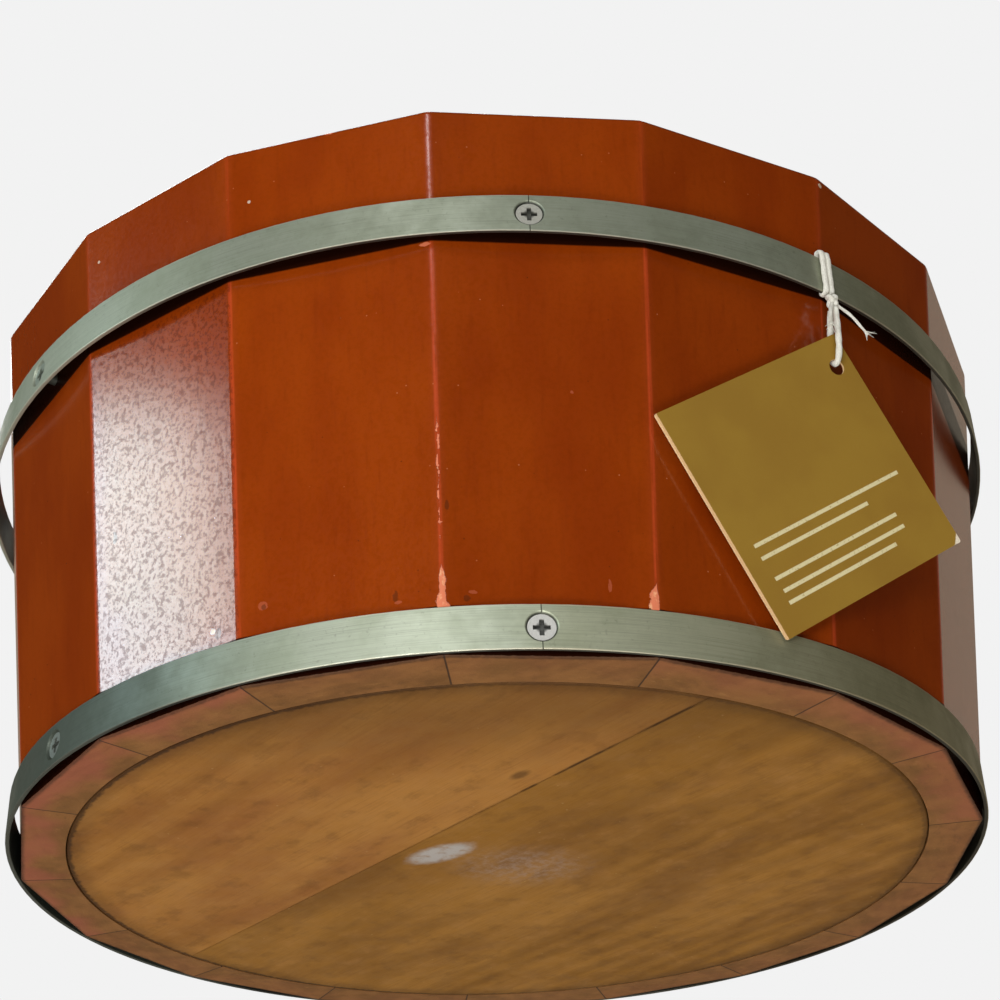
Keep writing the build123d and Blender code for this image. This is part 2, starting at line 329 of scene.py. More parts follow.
def stave_material(number, middle_angle, turn):
    """Paint outside and over the rim, varnish inside, and stained end grain below."""
    s = Shader(f"stave_paint_{number:02d}")
    seed = number * 37.0
    local = s.turned(s.place, middle_angle)
    x, y, z = s.parts(local)
    seeded = s.moved(local, (0, 0, seed * 11))
    face = s.math("MULTIPLY_ADD", z, wall_slope * cos(turn / 2), bottom_corner_radius * 1000 * cos(turn / 2))
    depth = s.product(s.math("SUBTRACT", face, x), cos(wall_lean))
    half_width = s.product(x, tan(turn / 2))
    side_gap = s.math("SUBTRACT", half_width, s.math("ABSOLUTE", y))

    pith = (-211.0 - 9 * (number % 3), 22.0 * (number % 5 - 2), seed * 11)
    varnished = (from_screen(104, 66, 30), from_screen(146, 98, 50), from_screen(172, 122, 68))
    wood, wood_height = wood_tones(s, s.moved(local, pith), *varnished, 4.2)
    bottom = s.step(z, 0.3, 1.4, 1, 0)
    end_stain = end_stains.get(number, 0.12)
    end_shade = s.noise(s.moved(s.place, (seed, 0, 0)), 0.09, 3)
    end_wood = s.mix(s.step(end_shade, 0.35, 0.65), from_screen(122, 80, 34), from_screen(150, 100, 50))
    end_spots = s.noise(s.scaled(seeded, (1, 0.45, 1)), 0.42, 4, 0.7)
    end_wood = s.mix(s.step(end_spots, 0.54, 0.72, 0, 0.45), end_wood, from_screen(84, 52, 22))
    end_wood = s.mix(s.step(end_spots, 0.26, 0.44, 0.35, 0), end_wood, from_screen(186, 134, 76))
    wood = s.mix(s.product(bottom, 0.75), wood, end_wood)
    stain_reach = s.product(s.noise(seeded, 0.07, 3), 30)
    stain = s.step(s.math("SUBTRACT", depth, stain_reach), -16, -2, end_stain, 0)
    wood = s.mix(s.product(stain, bottom), wood, from_screen(172, 92, 70))
    # Painted shade along the outer edge of the end grain, where the lower hoop shades it
    end_edge_reach = s.math("MULTIPLY_ADD", s.noise(seeded, 0.5, 3), -1.2, depth)
    end_edge_shade = s.product(s.step(end_edge_reach, -0.6, 0.9, 0.8, 0), bottom)
    wood = s.mix(end_edge_shade, wood, from_screen(60, 34, 16))
    joint_line = s.step(side_gap, 0.08, 0.40, 0.85, 0)
    wood = s.mix(joint_line, wood, from_screen(42, 24, 14))

    streaks = s.noise(s.scaled(seeded, (1, 1, 0.05)), 0.55, 4, 0.6)
    clouds = s.noise(s.scaled(seeded, (1, 1, 0.45)), 0.035, 3, 0.55)
    paint = s.mix(s.step(clouds, 0.34, 0.66), paint_tones[0], paint_tones[1])
    paint = s.mix(s.step(streaks, 0.50, 0.76, 0, 0.22), paint, paint_tones[2])
    grit = s.cells(seeded, 0.34)
    speck = s.step(grit.outputs["Distance"], 0.045, 0.085, 1, 0)
    speck_kind = s.parts(grit.outputs["Color"])
    light_speck = s.product(speck, s.step(speck_kind[0], 0.86, 0.90))
    dark_speck = s.product(speck, s.step(speck_kind[1], 0.84, 0.88))
    paint = s.mix(s.product(light_speck, 0.45), paint, from_screen(214, 140, 96))
    paint = s.mix(s.product(dark_speck, 0.6), paint, from_screen(58, 22, 8))
    # Painted highlights along the rounded creases: a soft band and a narrow brighter line, weaker above the
    # upper hoop
    crease_highlight = s.step(side_gap, 0.2, 2.6, 0.3, 0)
    paint = s.mix(crease_highlight, paint, from_screen(158, 62, 24))
    crease_wander = s.noise(s.scaled(seeded, (1, 1, 0.2)), 0.25, 2)
    crease_highlight_line = s.product(
        s.step(side_gap, 0.25, 0.85, 0.5, 0),
        s.step(z, 124, 128, 1, 0.3),
        s.step(crease_wander, 0.35, 0.55, 0.3, 1),
    )
    paint = s.mix(crease_highlight_line, paint, from_screen(206, 78, 40))

    # Specks where the paint is duller and a little darker
    dots = s.cells(s.place, 1.25)
    dot_reach = s.step(dots.outputs["Distance"], 0.20, 0.46, 1, 0)
    dull = s.product(dot_reach, s.step(s.parts(dots.outputs["Color"])[0], 0.30, 0.75))
    dull = s.math("MAXIMUM", dull, s.step(s.noise(s.place, 0.80, 2, 0.6), 0.50, 0.60))
    # On the stave that mirrors the brightest lamp the specks are darkened further, as painted shade in its
    # reflection
    dull_depth = s.step(z, 112, 114, 0.42, 0.10) if number == specked_stave else 0.10
    paint = s.mix(s.product(dull, dull_depth), paint, from_screen(70, 26, 12))
    # Painted shade: some staves' paint made darker by the factor above
    tone = stave_shade.get(number, 1.0)
    paint = s.mix(1.0, paint, (tone, tone, tone, 1), "MULTIPLY")

    # Painted shade behind the hoops: the paint turns near black where the wall lies in their shadow
    lower_hoop_shade = s.step(z, 12.5, 12.9, 1, 0)
    behind_upper = s.product(s.step(z, 113.6, 114.2), s.step(z, 125.5, 126.0, 1, 0))
    behind = s.math("MAXIMUM", lower_hoop_shade, behind_upper)
    paint = s.mix(s.product(behind, 0.95), paint, from_screen(16, 7, 4))

    # Chips along the creases, then single marks on the face
    ragged = s.math("SUBTRACT", s.noise(seeded, 0.75, 4, 0.65), 0.5)
    flecks = s.step(s.noise(s.scaled(seeded, (0.4, 0.4, 1)), 0.32, 3, 0.65), 0.46, 0.60, 0.0, 1)
    chips = 0.0
    for side in (-1, 1):
        side_reach = s.math("SUBTRACT", half_width, s.product(y, side))
        for low, high, reach in crease_wear.get((number, side), ()):
            window = s.product(s.step(z, low - 1, low + 1), s.step(z, high - 2, high + 2, 1, 0))
            spread = s.product(window, reach)
            if high - low > 12:
                spread = s.product(spread, flecks)
            tear = s.product(ragged, s.product(spread, 1.6))
            edge = s.math("ADD", s.math("SUBTRACT", spread, side_reach), tear)
            chips = s.math("MAXIMUM", chips, s.step(edge, 0.0, 0.22))
    marks = []
    for mark_y, mark_z, half_across, half_up, kind in face_marks.get(number, ()):
        across = s.math("DIVIDE", s.math("SUBTRACT", y, mark_y), half_across)
        upwards = s.math("DIVIDE", s.math("SUBTRACT", z, mark_z), half_up)
        reach = s.math("ADD", s.product(across, across), s.product(upwards, upwards))
        marks.append((s.step(s.math("ADD", reach, s.product(ragged, 3.2)), 0.7, 1.2, 1, 0), kind))
    chip = s.mix(s.step(s.noise(seeded, 0.5, 3), 0.54, 0.68), chip_colour, bare_colour)

    # Paint covers the outside and folds over the rim
    rim_line = s.math("MULTIPLY_ADD", s.noise(seeded, 0.12, 3), 3.0, tub_height * 1000 - 3.2)
    inside_paint = s.step(s.math("SUBTRACT", z, rim_line), -0.25, 0.25)
    above_end = s.step(s.math("MULTIPLY_ADD", ragged, -0.4, z), 0.25, 0.45)
    outside = s.product(s.step(depth, 1.0, 1.4, 1, 0), above_end)
    painted = s.math("MAXIMUM", outside, inside_paint)
    covered = s.product(painted, s.math("SUBTRACT", 1.0, chips))

    worn = s.mix(s.product(chips, painted), wood, chip)
    colour = s.mix(covered, worn, paint)
    for mark, kind in marks:
        mark_colour, strength = mark_kinds[kind]
        colour = s.mix(s.product(mark, strength), colour, mark_colour)
    fine = s.noise(s.place, 0.95, 2, 0.6)
    roughness = s.step(fine, 0.3, 0.7, 0.15, 0.19)
    roughness = s.between(covered, 0.72, roughness)
    gloss = s.between(dull, 0.64, 0.30)
    gloss = s.product(gloss, s.math("MULTIPLY_ADD", behind, -0.95, 1.0))
    gloss = s.between(covered, 0.4, gloss)
    waves = s.product(s.noise(s.place, 0.3, 2), 0.12)
    peel = s.math("ADD", waves, s.product(streaks, 0.06))
    relief = s.between(covered, wood_height, peel)
    relief = s.math("ADD", relief, s.product(covered, 1.5))
    normal = s.bump(relief, 0.00014, 0.8)
    s.put(s.surface.inputs["Specular IOR Level"], gloss)
    return s.finish(colour, roughness, normal)


def board_material(name, tones, pith, shade):
    """Flush bottom boards, with their grain along the seam."""
    s = Shader(name)
    turned = s.turned(s.place, seam_angle)
    x, y, z = s.parts(turned)
    grain_vector = s.moved(s.joined(x, z, y), pith)
    wood, height = wood_tones(s, grain_vector, tones[0], tones[1], tones[2], 7.5, 0.3)
    patches = s.noise(s.scaled(turned, (1, 0.4, 1)), 0.028, 4, 0.62)
    wood = s.mix(s.step(patches, 0.40, 0.72, 0, 0.55), wood, from_screen(*shade))
    specks = s.cells(turned, 0.22)
    speck = s.step(specks.outputs["Distance"], 0.03, 0.10, 1, 0)
    dust = s.product(speck, s.step(s.parts(specks.outputs["Color"])[0], 0.8, 0.84))
    wood = s.mix(s.product(dust, 0.35), wood, from_screen(210, 176, 128))
    px, py, pz = s.parts(s.place)
    below = s.step(pz, 0.4, 0.8, 1, 0)
    mottle = s.noise(s.scaled(turned, (1, 0.7, 1)), 0.11, 4, 0.65)
    wood = s.mix(s.step(mottle, 0.50, 0.70, 0, 0.32), wood, from_screen(104, 66, 28))
    wood = s.mix(s.step(mottle, 0.30, 0.46, 0.25, 0), wood, from_screen(190, 136, 76))
    ragged = s.product(s.math("SUBTRACT", s.noise(s.place, 0.5, 3), 0.5), 3.0)

    def spot(centre, along_size, across_size, angle, soft):
        """Share of an oval mark on the underside, with a ragged edge."""
        off = s.turned(s.moved(s.place, (-centre[0], -centre[1], 0)), angle)
        ox, oy, _ = s.parts(off)
        distance = s.distance(s.math("DIVIDE", ox, along_size), s.math("DIVIDE", oy, across_size))
        distance = s.math("ADD", distance, s.product(ragged, 0.12))
        return s.product(s.step(distance, 1 - soft, 1 + soft, 1, 0), below)

    knot = spot((6.4, -70.9), 3.2, 1.8, radians(130), 0.5)
    wood = s.mix(s.product(knot, 0.6), wood, from_screen(70, 42, 18))
    smudge = spot((-17.0, -14.7), 10.4, 5.2, radians(-35), 0.36)
    smudge = s.product(smudge, s.step(s.noise(s.place, 0.28, 3, 0.6), 0.30, 0.52, 0.45, 0.85))
    wood = s.mix(smudge, wood, from_screen(200, 196, 194))
    haze = spot((7.0, -2.0), 17.0, 13.0, radians(10), 0.6)
    haze = s.product(haze, s.step(s.noise(s.place, 0.3, 4, 0.7), 0.40, 0.64, 0.12, 0.48))
    wood = s.mix(haze, wood, from_screen(176, 152, 138))
    radius = s.distance(px, py)
    front_dirt = s.step(s.math("MULTIPLY_ADD", mottle, 30.0, py), -100, -55, 0.5, 0)
    wood = s.mix(front_dirt, wood, from_screen(96, 64, 26))
    edge_dirt = s.step(s.math("ADD", radius, ragged), 119, 126, 0, 0.35)
    wood = s.mix(edge_dirt, wood, from_screen(72, 44, 20))
    edge_line = s.step(s.math("MULTIPLY_ADD", ragged, 0.8, radius), 125.3, 126.6, 0, 0.78)
    edge_line = s.product(edge_line, s.step(px, -60, 20, 1, 0.55))
    wood = s.mix(edge_line, wood, from_screen(50, 28, 13))
    seam_gap = s.math("ABSOLUTE", s.math("ADD", x, seam_offset * 1000))
    seam_line = s.step(seam_gap, 0.25, 0.9, 0.8, 0)
    seam_line = s.product(seam_line, s.step(s.noise(turned, 0.06, 3), 0.40, 0.56, 0.25, 1))
    seam_line = s.product(seam_line, s.step(px, -25, 15, 0.2, 1))
    wood = s.mix(seam_line, wood, from_screen(62, 36, 14))
    roughness = s.step(s.noise(s.place, 0.12, 3), 0.3, 0.7, 0.46, 0.62)
    normal = s.bump(height, 0.00010, 0.7)
    return s.finish(wood, roughness, normal, Specular_IOR_Level=0.15)


def hoop_material(name, bottom, radius, tints):
    """Galvanised strip: fine lines along it, dull patches, paler worn edges and painted shade in the
    countersinks round the screws and on the strip's inner face.

    Each tint of painted light and shade goes from full strength at the first X to none at the second.
    """
    s = Shader(name)
    x, y, z = s.parts(s.place)
    lines = s.noise(s.scaled(s.place, (0.045, 0.045, 6.0)), 1.0, 4, 0.6)
    patches = s.noise(s.place, 0.055, 4, 0.65)
    fine = s.noise(s.place, 0.9, 3, 0.6)
    colour = s.mix(s.step(patches, 0.32, 0.70), from_screen(182, 190, 172), from_screen(158, 166, 146))
    colour = s.mix(s.step(lines, 0.30, 0.55, 0.45, 0), colour, from_screen(130, 137, 120))
    colour = s.mix(s.step(fine, 0.60, 0.74, 0, 0.30), colour, from_screen(108, 112, 98))
    edge = s.math("ABSOLUTE", s.math("SUBTRACT", z, (bottom + hoop_width / 2) * 1000))
    worn = s.step(s.math("ADD", edge, s.product(patches, 0.9)), 5.9, 6.5, 0, 0.6)
    colour = s.mix(worn, colour, from_screen(214, 208, 190))
    out = s.distance(x, y)
    # Painted light and shade along the strip, by X
    for start, stop, tint in tints:
        colour = s.mix(s.step(x, start, stop, 1, 0), colour, tint, "MULTIPLY")
    # Painted shade on the strip's inner face and in the countersinks round the screws, less of it at the left
    countersink_shade = s.step(out, radius * 1000 - 0.45, radius * 1000 - 0.05, 0.9, 0)
    countersink_shade = s.product(countersink_shade, s.step(x, -110, -80, 0.3, 1))
    colour = s.mix(countersink_shade, colour, from_screen(26, 25, 22))
    roughness = s.math("ADD", s.step(patches, 0.3, 0.7, 0.38, 0.50), s.product(lines, 0.06))
    relief = s.math("ADD", s.product(lines, 0.7), s.product(fine, 0.3))
    normal = s.bump(relief, 0.00005, 0.6)
    return s.finish(colour, roughness, normal, Metallic=0.55)


def screw_material(name, bottom, radius, tone, left_shade_tone):
    """Zinc, bright in front, with painted shade: darker at the left, in the cross recess and on the shank
    below the head.
    """
    s = Shader(name)
    x, y, z = s.parts(s.place)
    out = s.distance(x, y)
    fine = s.noise(s.place, 1.4, 3, 0.6)
    # Painted shade below the head's face, in the cross recess and on the shank
    recess_shade = s.step(out, radius * 1000 - 1.35, radius * 1000 - 0.82, 1, 0)
    for angle in screw_angles:
        on_face, across, _ = s.parts(s.turned(s.place, angle))
        upwards = s.math("SUBTRACT", z, (bottom + hoop_width / 2) * 1000)
        reach = s.distance(across, upwards)
        centre = s.product(s.step(reach, 1.0, 1.8, 0.8, 0), s.step(on_face, 0, 10))
        recess_shade = s.math("MAXIMUM", recess_shade, centre)
    shank_shade = s.step(out, radius * 1000 - 2.3, radius * 1000 - 1.9, 1, 0)
    recess_shade = s.math("MAXIMUM", s.product(recess_shade, s.step(x, -110, -80, 0.4, 1)), shank_shade)
    colour = s.mix(s.step(fine, 0.35, 0.68, 0, 0.5), from_screen(*tone), from_screen(*(c - 26 for c in tone)))
    # Painted shade on the screws at the left
    colour = s.mix(s.step(x, -110, -80, 0.8, 0), colour, from_screen(*left_shade_tone))
    colour = s.mix(s.product(recess_shade, 0.88), colour, from_screen(60, 62, 58))
    roughness = s.step(fine, 0.3, 0.7, 0.40, 0.55)
    return s.finish(colour, roughness, s.bump(fine, 0.00006, 0.6), Metallic=0.75)


def dowel_material():
    s = Shader("dowel_wood")
    grain = s.noise(s.scaled(s.turned(s.place, seam_angle), (0.06, 1, 1)), 1.1, 4)
    colour = s.mix(s.step(grain, 0.3, 0.7), from_screen(206, 170, 118), from_screen(178, 138, 88))
    return s.finish(colour, 0.7, s.bump(grain, 0.0001))


def string_material():
    """White cotton yarn with fine fibres."""
    s = Shader("white_cotton")
    fibres = s.noise(s.scaled(s.place, (1, 1, 0.4)), 4.5, 3, 0.7)
    soil = s.noise(s.place, 0.35, 3)
    white, shade = from_screen(240, 240, 232), from_screen(188, 184, 172)
    colour = s.mix(s.step(fibres, 0.30, 0.62, 0.45, 0), white, shade)
    colour = s.mix(s.step(soil, 0.52, 0.74, 0, 0.35), colour, from_screen(206, 196, 174))
    normal = s.bump(fibres, 0.00012, 0.8)
    return s.finish(colour, 0.92, normal, Sheen_Weight=0.25, Specular_IOR_Level=0.2)


# Ruled lines of the tag: height, start and stop from its middle, in millimetres
tag_rules = (
    (-8.4, -27.5, 26.8),
    (-12.0, -27.5, 12.2),
    (-18.0, -27.0, 18.7),
    (-21.6, -26.6, 19.0),
    (-24.8, -27.0, 13.4),
)


def tag_material(origin, across, up, out):
    """Matt card, olive-gold in front, with pale cut edges and back, and plain ruled lines."""
    s = Shader("tag_card")
    place = s.moved(s.place, tuple(-1000 * c for c in origin))
    u = s.along(place, tuple(across))
    v = s.along(place, tuple(up))
    facing_out = s.along(s.normal, tuple(out))
    front = s.step(facing_out, 0.4, 0.7)
    back = s.step(facing_out, -0.7, -0.4, 1, 0)
    fibre = s.noise(s.place, 1.3, 4, 0.7)
    cloud = s.noise(s.place, 0.05, 3)
    gold = s.mix(s.step(cloud, 0.35, 0.65), from_screen(154, 120, 42), from_screen(148, 113, 39))
    gold = s.mix(s.step(fibre, 0.55, 0.80, 0, 0.25), gold, from_screen(164, 134, 66))
    cream = s.mix(s.step(fibre, 0.35, 0.7), from_screen(240, 206, 158), from_screen(228, 184, 132))
    lines = None
    for height, start, stop in tag_rules:
        line = s.step(s.math("ABSOLUTE", s.math("SUBTRACT", v, height)), 0.44, 0.60, 1, 0)
        line = s.product(line, s.step(u, start - 0.1, start + 0.1))
        line = s.product(line, s.step(u, stop - 0.1, stop + 0.1, 1, 0))
        lines = line if lines is None else s.math("MAXIMUM", lines, line)
    lines = s.product(lines, s.step(fibre, 0.32, 0.45, 0.45, 0.9))
    face = s.mix(lines, gold, from_screen(232, 222, 176))
    left_cut = s.math("MULTIPLY_ADD", fibre, 0.3, tag_width * -500 + 0.45)
    face = s.mix(s.step(s.math("SUBTRACT", u, left_cut), -0.1, 0.1, 1, 0), face, from_screen(235, 192, 142))
    to_corner = s.math("SUBTRACT", s.math("SUBTRACT", u, v), tag_width * 500 + tag_length * 500)
    bare_corner = s.step(s.math("MULTIPLY_ADD", fibre, 0.8, to_corner), -2.4, -1.8)
    face = s.mix(bare_corner, face, from_screen(238, 226, 206))
    colour = s.mix(front, cream, face)
    colour = s.mix(back, colour, from_screen(206, 188, 146))
    roughness = s.step(fibre, 0.3, 0.7, 0.62, 0.74)
    return s.finish(colour, roughness, s.bump(fibre, 0.00004, 0.6), Specular_IOR_Level=0.3)


# Staves, boards, hoops and screws keep their CAD shapes
joint_angle = first_joint_angle
screw_angles = []
for number, turn in enumerate(stave_turns, 1):
    dress(nodes[f"stave_{number:02d}"], stave_material(number, joint_angle + turn / 2, turn))
    if number in screw_offset_shares:
        screw_angles.append(joint_angle + turn / 2 * (1 + screw_offset_shares[number]))
    joint_angle += turn

wide_tones = (from_screen(122, 80, 26), from_screen(164, 113, 44), from_screen(184, 130, 60))
narrow_tones = (from_screen(138, 86, 34), from_screen(178, 122, 56), from_screen(194, 136, 68))
wide_board = board_material("board_wide", wide_tones, (30, 95, 300), (118, 76, 34))
narrow_board = board_material("board_narrow", narrow_tones, (70, 80, 900), (150, 88, 46))
dress(nodes["head_board_wide"], wide_board)
dress(nodes["head_board_narrow"], narrow_board)
dress(nodes["head_dowels"], dowel_material())

# Painted light and shade on the hoops, by X in millimetres. The first of the lower hoop's covers all of it
# and brightens it, the others darken the strips over part of their length.
lower_hoop_light_and_shade = (
    (300, 400, (1.36, 1.36, 1.36, 1)),
    (-94, -36, (0.18, 0.195, 0.20, 1)),
    (20, 0, (0.97, 0.94, 0.88, 1)),
    (113, 5, (0.52, 0.45, 0.36, 1)),
)
upper_tints = ((-60, -90, (0.86, 0.86, 0.86, 1)), (118, 70, (0.84, 0.76, 0.66, 1)))
lower_ring = (lower_hoop_bottom, lower_hoop_radius)
upper_ring = (upper_hoop_bottom, upper_hoop_radius)
dress(nodes["lower_hoop"], hoop_material("lower_strip", *lower_ring, lower_hoop_light_and_shade))
dress(nodes["upper_hoop"], hoop_material("upper_strip", *upper_ring, upper_tints))
lower_zinc = screw_material("lower_zinc", *lower_ring, (252, 252, 248), (104, 114, 104))
upper_zinc = screw_material("upper_zinc", *upper_ring, (214, 214, 204), (144, 154, 140))
dress(nodes["lower_hoop_screws"], lower_zinc)
dress(nodes["upper_hoop_screws"], upper_zinc)


# Tag: the card keeps its CAD shape
knot_gap = 0.0001
wrap_edge = 0.001
knot_sink = 0.0003
knot_stand = 0.0012
strand_drop = 0.01905
fold_drop = 0.0023
hole_edge = 0.0056
hole_end = 0.0086
knot_drop = knot_gap + wrap_edge + knot_sink + knot_radius
tie_out = around(string_angle, 1, 0)
tie_along = around(string_angle + pi / 2, 1, 0)
knot_centre = tie_out * (upper_hoop_radius + knot_stand) + Vector((0, 0, upper_hoop_bottom - knot_drop))
tag_out = around(tag_angle, cos(tag_lean), -sin(tag_lean))
tag_along = around(tag_angle + pi / 2, 1, 0)
tag_up = tag_out.cross(tag_along)
tag_pivot = knot_centre - tag_up * strand_drop
card_across = cos(tag_roll) * tag_along + sin(tag_roll) * tag_up
card_up = cos(tag_roll) * tag_up - sin(tag_roll) * tag_along
hole_centre = tag_pivot - tag_up * (fold_drop - string_diameter / 2 - knot_gap)
card_centre = hole_centre + card_across * (hole_edge - tag_width / 2) + card_up * (hole_end - tag_length / 2)
dress(nodes["hang_tag"], tag_material(card_centre, card_across, card_up, tag_out))


# String pieces: two plies laid round each other
cotton = string_material()


def cotton_piece(name, mesh):
    """A smooth object out of the mesh, with the string's material and slot."""
    data = bpy.data.meshes.new(name)
    mesh.to_mesh(data)
    mesh.free()
    for polygon in data.polygons:
        polygon.use_smooth = True
    piece = bpy.data.objects.new(name, data)
    bpy.context.scene.collection.objects.link(piece)
    dress(piece, cotton)
    return piece


def yarn(name, points, half_widths, half_depths, ply_turn=0.0036, outward=None, segments=20, closed=False):
    """Mesh of a two-ply yarn along points, with an oval section.

    half_widths lie across the yarn and half_depths along outward. The plies turn once in each ply_turn.
    """
    mesh = bmesh.new()
    count = len(points)
    rings = []
    travelled = 0.0
    frame_out = None
    for i, point in enumerate(points):
        before = points[i - 1] if (i > 0 or closed) else points[i]
        after = points[(i + 1) % count] if (i < count - 1 or closed) else points[i]
        ahead_here = (after - before).normalized()
        if i > 0:
            travelled += (point - points[i - 1]).length
        if outward:
            hint = outward[i]
        elif frame_out is not None:
            hint = frame_out
        else:
            hint = Vector((0.3, 0.2, 0.9))
        across = ahead_here.cross(hint).normalized()
        frame_out = across.cross(ahead_here).normalized()
        twist = 2 * pi * travelled / ply_turn
        ring = []
        for k in range(segments):
            angle = 2 * pi * k / segments
            ply = 0.80 + 0.20 * abs(cos(angle - twist / 2)) ** 0.7
            fibre_place = Vector((cos(angle) * 2, sin(angle) * 2, travelled * 1800))
            fuzz = 1 + 0.05 * smooth_noise(fibre_place)
            offset = across * (cos(angle) * half_widths[i]) + frame_out * (sin(angle) * half_depths[i])
            ring.append(mesh.verts.new(point + offset * ply * fuzz))
        rings.append(ring)
    pairs = list(zip(rings, rings[1:])) + ([(rings[-1], rings[0])] if closed else [])
    for first, second in pairs:
        for k in range(segments):
            mesh.faces.new((first[k], first[(k + 1) % segments], second[(k + 1) % segments], second[k]))
    if not closed:
        mesh.faces.new(list(reversed(rings[0])))
        mesh.faces.new(rings[-1])
    bmesh.ops.recalc_face_normals(mesh, faces=mesh.faces)
    return cotton_piece(name, mesh)


def join(name, pieces):
    """One object out of several meshes, which share their material."""
    mesh = bmesh.new()
    for piece in pieces:
        mesh.from_mesh(piece.data)
        bpy.data.objects.remove(piece)
    return cotton_piece(name, mesh)


def sampled(control_points, order=3):
    """Points along the NURBS spline of these control points."""
    data = bpy.data.curves.new("route", "CURVE")
    data.dimensions = "3D"
    data.resolution_u = 24
    spline = data.splines.new("NURBS")
    spline.points.add(len(control_points) - 1)
    for point, place in zip(spline.points, control_points):
        point.co = (*place, 1)
    spline.order_u = order
    spline.use_endpoint_u = True
    route = bpy.data.objects.new("route", data)
    bpy.context.scene.collection.objects.link(route)
    bpy.context.view_layer.update()
    line = bpy.data.meshes.new_from_object(route)
    places = []
    for vertex in line.vertices:
        if not places or (vertex.co - places[-1]).length > 0.00002:
            places.append(vertex.co.copy())
    bpy.data.objects.remove(route)
    bpy.data.meshes.remove(line)
    return places


# Two turns of string round the hoop, round in front and flat where the hoop presses them on the wall
half_strip = hoop_width / 2
strip_middle = upper_hoop_bottom + half_strip
wrap_steps = 128
wrap_gap = 0.0001
wrap_offset = 0.00098
wrap_half_width = 0.00094
flat_half_depth = 0.00022
round_half_depth = 0.00074
edge_half_depth = 0.0005
wrap_top_rise = 0.0014
wrap_top_slack = 0.0004
wrap_turns = []
for side in (-1, 1):
    loop, widths, depths, outs = [], [], [], []
    for k in range(wrap_steps):
        angle = 2 * pi * k / wrap_steps
        c, d = cos(angle), sin(angle)
        out_share = (abs(c) ** 0.5) * (1 if c >= 0 else -1)
        up_share = (abs(d) ** 0.5) * (1 if d >= 0 else -1)
        top_share = max(0.0, up_share)
        front_share = max(0.0, min(1.0, 0.5 + out_share * 0.9))
        half_depth = flat_half_depth + (round_half_depth - flat_half_depth) * front_share
        depth_reach = hoop_thickness / 2 + wrap_gap + half_depth
        rise = half_strip + wrap_gap + edge_half_depth + wrap_top_rise * top_share
        slack = wrap_top_slack * top_share
        place = (
            tie_out * (upper_hoop_radius - hoop_thickness / 2 + out_share * depth_reach + slack)
            + Vector((0, 0, strip_middle + up_share * rise))
            + tie_along * (side * wrap_offset)
        )
        loop.append(place)
        widths.append(wrap_half_width)
        depths.append(half_depth if abs(d) < 0.9 else edge_half_depth)
        outs.append((tie_out * out_share + Vector((0, 0, up_share * 0.3))).normalized())
    wrap_turns.append(yarn("turn", loop, widths, depths, outward=outs, closed=True))
wrap = join("string_wrap_yarn", wrap_turns)
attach(wrap, "tub")
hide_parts("string_wrap")

# Knot: a closed overhand of the same yarn, with two frayed ends
knot_steps = 96
knot_half_width = 0.00078
knot_rise = 0.00035
knot_points = []
for k in range(knot_steps):
    t = 2 * pi * k / knot_steps
    a = (sin(t) + 2 * sin(2 * t)) * knot_half_width * 0.58
    b = (cos(t) - 2 * cos(2 * t)) * knot_half_width * 0.75 + knot_rise
    c = -sin(3 * t) * knot_half_width * 0.95
    knot_points.append(knot_centre + tie_along * a + Vector((0, 0, b)) + tie_out * c)
knot_halves = [knot_half_width] * knot_steps
knot_turns = [yarn("ball", knot_points, knot_halves, knot_halves, closed=True)]


def tail(name, run, bow_share, sag, thickness, fray):
    """A short end of the string, whose fibres spread at its tip."""
    end = knot_centre + tie_along * run[0] + Vector((0, 0, run[1])) + tie_out * run[2]
    bow = knot_centre + (end - knot_centre) * bow_share + Vector((0, 0, sag))
    line = sampled([knot_centre, knot_centre.lerp(bow, 0.55), bow, bow.lerp(end, 0.6), end])
    count = len(line)
    widths = [thickness * (1 - 0.25 * (i / (count - 1)) ** 3) for i in range(count)]
    made = [yarn(name, line, widths, widths, ply_turn=0.0042)]
    direction = (line[-1] - line[-6]).normalized()
    side = direction.cross(tie_out).normalized()
    over = side.cross(direction)
    for k in range(fray):
        turn = 2.4 * k
        spread = 0.35 + 0.65 * ((k * 7) % 11) / 11
        sideways = side * cos(turn) + over * sin(turn)
        start = line[-1] + sideways * thickness * 0.55 - direction * 0.0012
        reach = 0.0016 + 0.0011 * ((k * 5) % 7) / 7
        lean = sideways * spread * reach
        tip = start + direction * reach + lean
        middle = start + direction * reach * 0.55 + lean * 0.3
        fibre = sampled([start, middle, tip])
        thin = [0.00013 * (1 - 0.6 * i / (len(fibre) - 1)) for i in range(len(fibre))]
        made.append(yarn(name, fibre, thin, thin, ply_turn=0.01, segments=5))
    return made


# Both ends run along, up and out from the knot's middle
left_tail_run = (-0.0050, -0.0114, 0.0024)
right_tail_run = (0.0101, -0.0083, 0.0020)
tail_bow_share = 0.55
tail_sag = 0.0016
knot_turns += tail("left_tail", left_tail_run, tail_bow_share, tail_sag, 0.00062, 10)
knot_turns += tail("right_tail", right_tail_run, tail_bow_share, tail_sag, 0.00046, 8)
knot = join("string_knot_yarn", knot_turns)
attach(knot, "string")
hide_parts("string_knot")

